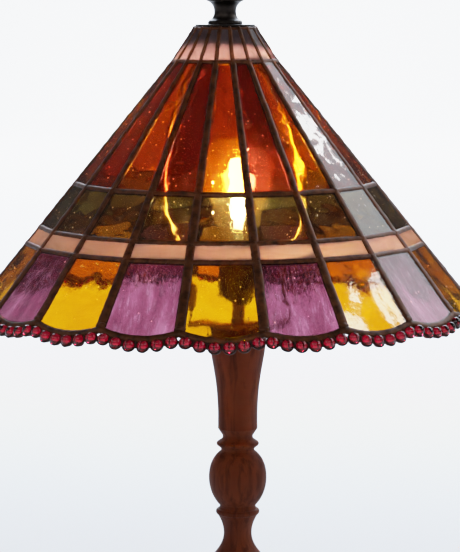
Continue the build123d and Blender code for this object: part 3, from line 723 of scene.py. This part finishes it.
def bead_angles():
    """Where the beads hang along a scallop."""
    end = math.asin(MAIN.half(-9 * MM) / BEAD_LINE_R)
    pitch = 2 * end / BEADS_PER_SCALLOP
    return [(k - (BEADS_PER_SCALLOP - 1) / 2) * pitch for k in range(BEADS_PER_SCALLOP)]


def collar(centre, side, hang, out, reach, thick, verts, faces, seed):
    """A ring of solder round a bead."""
    start, around, section = len(verts), 20, 8
    for i in range(around):
        a = 2 * math.pi * i / around
        ray = side * math.cos(a) + hang * math.sin(a)
        fat = thick * (1 + 0.25 * noise.noise(ray * 1.7 + Vector((seed, 0, 0))))
        for j in range(section):
            b = 2 * math.pi * j / section
            verts.append(centre + ray * (reach + fat * math.cos(b)) + out * (1.5 * fat * math.sin(b)))
    for i in range(around):
        here, there = start + i * section, start + (i + 1) % around * section
        for j in range(section):
            after = (j + 1) % section
            faces.append((here + j, there + j, there + after, here + after))


def bead_work():
    """The ruby beads, each a little out of round, in their solder collars."""
    draw = random.Random(7)
    beads, bead_faces, seats, seat_faces = [], [], [], []
    for facet in range(FACETS):
        spin = turn(facet)
        out = spin @ MAIN.out
        for number, a in enumerate(bead_angles()):
            hang = spin @ (Vector((math.sin(a), 0, 0)) - MAIN.up * math.cos(a))
            side = hang.cross(out)
            centre = MAIN.point(facet, BEAD_LINE_R * math.sin(a), SCALLOP_Y - BEAD_LINE_R * math.cos(a))
            wide, tall, deep = (BEAD_R * draw.uniform(0.80, 0.86) for _ in range(3))
            seed = draw.uniform(0, 50)
            blob(centre, side, hang, out, (wide, tall, deep * 1.15), beads, bead_faces, seed, 3, 0.02, 1.3)
            collar(centre, side, hang, out, BEAD_R * 0.86, 0.75 * MM, seats, seat_faces, seed)
            blob(centre - hang * (BEAD_R * 0.98), side, hang, out, (4.0 * MM, 2.2 * MM, 2.1 * MM),
                 seats, seat_faces, seed)
            if number > 0:
                blob(centre + side * BEAD_R - hang * (BEAD_R * 0.30), side, hang, out,
                     (1.5 * MM, 3.2 * MM, 1.8 * MM), seats, seat_faces, seed + 3)
    piece = new_piece("ruby_bead_chain", beads, bead_faces, "shade")
    give(piece, RUBY)
    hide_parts("ruby_beads")
    seat = new_piece("bead_seats", seats, seat_faces, "shade")
    give(seat, SOLDER)


bead_work()

# ---- CAD nodes that show as they are -------------------------------------------
FINISHES = {
    WOOD: ["column_spindle", "base_foot"],
    FELT: ["felt_pad"],
    IRON: ["base_weight"],
    STEEL: ["weight_screws", "base_washer", "base_lock_nut", "lamp_pipe", "bulb_lead_wires",
            "bulb_base_shell", "bulb_tip_contact"],
    BRASS: ["column_top_washer", "saddle_lock_nut", "neck_spacer", "harp_saddle", "harp_wire", "harp_stud",
            "screw_shell", "centre_contact", "terminal_screws", "cap_bush",
            "finial_insert", "switch_shaft", "ferrule_left", "ferrule_right"],
    AGED: ["socket_cap", "socket_shell"],
    BRONZE: ["vase_cap", "finial"],
    PLASTIC: ["cord_inlet_bush", "socket_core", "bulb_insulator", "switch_knob"],
    CARD: ["insulating_sleeve"],
    frosted_bulb(): ["bulb_glass"],
    glow("lit_quartz", (1.0, 0.80, 0.54), (1.0, 0.88, 0.66), CAPSULE_POWER, 180.0): ["bulb_capsule"],
    glow("hot_filament", (1.0, 0.70, 0.34), (1.0, 0.80, 0.46), FILAMENT_POWER, 900.0): ["bulb_filament"],
}
for finish, nodes in FINISHES.items():
    for node in nodes:
        give(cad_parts[node], finish)


def lathe(name, profile, axis_x, body, around=40):
    """A turned piece from (radius, height) points in millimetres, with a flat cap at each end."""
    verts, faces = [], []
    for r, z in profile:
        for i in range(around):
            a = 2 * math.pi * i / around
            verts.append((axis_x + r * MM * math.cos(a), r * MM * math.sin(a), z * MM))
    skin(0, len(profile), around, False, faces)
    faces.append(tuple(reversed(range(around))))
    faces.append(tuple((len(profile) - 1) * around + i for i in range(around)))
    return new_piece(name, verts, faces, body)


stem_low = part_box("bulb_stem")[0].z / MM
STEM = [(3.0, stem_low), (3.0, 384), (3.2, 389), (4.0, 393), (5.0, 397), (5.4, 401), (5.2, 404.4), (4.6, 404.7)]
stem = lathe("stem_press", STEM, COLUMN_X, "bulb")
give(stem, lit_stem())
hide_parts("bulb_stem")
for node in (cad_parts["bulb_capsule"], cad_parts["bulb_filament"], stem):
    node.visible_diffuse = False


# ---- stage, light and camera ---------------------------------------------------
def stage_sweep():
    """A pale round floor that curves up into a low wall."""
    made, tree, shader = material("pale_floor")
    shader.inputs["Base Color"].default_value = (0.86, 0.88, 0.92, 1)
    shader.inputs["Roughness"].default_value = 0.8
    flat_r, bend, steps = 8.0, 1.5, 12
    profile = [(0.001, 0.0), (2.0, 0.0), (flat_r, 0.0)]
    for k in range(1, steps + 1):
        a = math.radians(90 * k / steps)
        profile.append((flat_r + bend * math.sin(a), bend - bend * math.cos(a)))
    around = 96
    verts, faces = [], []
    for r, z in profile:
        for i in range(around):
            a = 2 * math.pi * i / around
            verts.append((r * math.cos(a), r * math.sin(a), z))
    skin(0, len(profile), around, False, faces)
    mesh = bpy.data.meshes.new("stage_floor")
    mesh.from_pydata(verts, [], faces)
    mesh.shade_smooth()
    floor = bpy.data.objects.new("stage_floor", mesh)
    bpy.context.scene.collection.objects.link(floor)
    give(floor, made)


stage_sweep()


def softbox(name, place, target, size, power, colour=(1, 1, 1)):
    """A rectangular studio light."""
    data = bpy.data.lights.new(name, "AREA")
    data.shape = "RECTANGLE"
    data.size, data.size_y = size
    data.energy = power
    data.color = colour
    lamp = bpy.data.objects.new(name, data)
    lamp.location = place
    lamp.rotation_euler = (Vector(target) - Vector(place)).to_track_quat("-Z", "Y").to_euler()
    bpy.context.scene.collection.objects.link(lamp)


softbox("backdrop_light", (0, 6.8, 2.2), (0, 6.8, 0), (3.6, 4.4), 403, (0.90, 0.95, 1.0))
softbox("floor_light", (0, 2.9, 2.0), (0, 2.9, 0), (2.6, 2.6), 158, (0.75, 0.85, 1.0))
softbox("front_floor_light", (0, -4.5, 3.0), (0, -4.5, 0), (4.0, 3.0), 70, (0.95, 0.97, 1.0))
softbox("left_floor_light", (-5.0, 0, 3.0), (-5.0, 0, 0), (3.0, 4.0), 40, (0.95, 0.97, 1.0))
softbox("right_floor_light", (5.0, 0, 3.0), (5.0, 0, 0), (3.0, 4.0), 95, (0.95, 0.97, 1.0))
softbox("side_light", (1.9, 1.6, 1.9), (0, 0, 0.4), (1.9, 1.6), 27, (0.88, 0.94, 1.0))
softbox("window_glint", (1.20, 0.09, 1.47), (0.10, -0.14, 0.36), (0.08, 0.07), 0.26, (1.0, 0.98, 0.92))
softbox("window_glint_high", (1.07, 0.85, 1.33), (0.07, -0.05, 0.47), (0.07, 0.09), 0.30, (1.0, 1.0, 1.0))
softbox("fill_light", (-2.2, -1.6, 1.7), (0, 0, 0.3), (1.4, 1.4), 6, (1.0, 0.97, 0.94))

core = bpy.data.lights.new("bulb_light", "POINT")
core.energy = 1.6
core.color = (1.0, 0.66, 0.34)
core.shadow_soft_size = 0.012
core_lamp = bpy.data.objects.new("bulb_light", core)
core_lamp.location = (COLUMN_X, 0, 0.425)
bpy.context.scene.collection.objects.link(core_lamp)

world = bpy.data.worlds.new("studio")
world.use_nodes = True
world.node_tree.nodes["Background"].inputs["Color"].default_value = (0.92, 0.95, 1.0, 1)
world.node_tree.nodes["Background"].inputs["Strength"].default_value = 0.05
bpy.context.scene.world = world


def soft_shoulder(view):
    """Bright whites roll off gently instead of clipping."""
    view.view_transform = "Standard"
    view.use_curve_mapping = True
    mapping = view.curve_mapping
    mapping.use_clip = True
    mapping.clip_max_x = 4.0
    mapping.clip_max_y = 1.0
    curve = mapping.curves[3]
    curve.points[-1].location = (4.0, 0.95)
    for place in ((0.6, 0.6), (1.2, 0.83), (2.2, 0.90)):
        curve.points.new(*place)
    mapping.update()


soft_shoulder(bpy.context.scene.view_settings)
bpy.context.scene.cycles.sample_clamp_indirect = 0.0

CAMERA_PLACE, CAMERA_DIP, CAMERA_TURN = (0.021, -1.792, 0.571), 7.01, 0.55
camera_data = bpy.data.cameras.new("camera")
camera_data.lens = 147.9
camera = bpy.data.objects.new("camera", camera_data)
camera.location = CAMERA_PLACE
camera.rotation_euler = (math.radians(90 - CAMERA_DIP), 0, math.radians(CAMERA_TURN))
bpy.context.scene.collection.objects.link(camera)
bpy.context.scene.camera = camera
